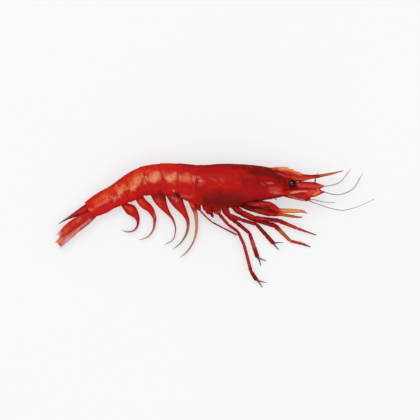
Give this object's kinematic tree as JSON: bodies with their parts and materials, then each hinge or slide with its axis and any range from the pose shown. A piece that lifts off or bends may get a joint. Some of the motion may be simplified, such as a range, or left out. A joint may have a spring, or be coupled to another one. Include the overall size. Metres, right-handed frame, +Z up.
{
  "type": "raw red shrimp",
  "caption": "Whole raw red shrimp lying on its left flank: head shell with rostrum, ringed tail, legs, swimmerets, tail fan, feelers and eyes.",
  "frame": {"origin": "on the surface it lies on, under the middle of the whole shrimp with its feelers", "axes": "+X towards the head, +Y towards the back, +Z up from the surface, out of the right flank"},
  "size_m": [0.2072, 0.0812, 0.0209],
  "materials": {
    "shell": "wet, translucent red shell over pale meat",
    "leg": "wet dark red shell, paler at the tips",
    "swimmeret": "wet red, turning brown and grey along the thin end",
    "tail_blade": "wet red with a pink, translucent fringe",
    "mouth_limb": "wet red with orange tips",
    "feeler": "satin, red stem and mauve-grey thread",
    "eye": "wet black"
  },
  "bodies": {
    "root": {"trunk": "shell", "telson": "tail_blade", "inner_blade_right": "tail_blade", "inner_blade_left": "tail_blade", "outer_blade_right": "tail_blade", "outer_blade_left": "tail_blade", "leg_right_1": "leg", "leg_right_2": "leg", "leg_right_3": "leg", "leg_right_4": "leg", "leg_right_5": "leg", "leg_left_1": "leg", "leg_left_2": "leg", "leg_left_3": "leg", "leg_left_4": "leg", "leg_left_5": "leg", "swimmeret_right_1": "swimmeret", "swimmeret_right_2": "swimmeret", "swimmeret_right_3": "swimmeret", "swimmeret_right_4": "swimmeret", "swimmeret_right_5": "swimmeret", "swimmeret_left_1": "swimmeret", "swimmeret_left_2": "swimmeret", "swimmeret_left_3": "swimmeret", "swimmeret_left_4": "swimmeret", "swimmeret_left_5": "swimmeret", "maxilliped_right": "mouth_limb", "maxilliped_left": "mouth_limb", "feeler_scale_right": "tail_blade", "feeler_scale_left": "tail_blade", "antennule_right": "feeler", "antennule_left": "feeler", "antenna_right": "feeler", "antenna_left": "feeler", "eye_right": "eye", "eye_left": "eye"}
  },
  "joints": []
}
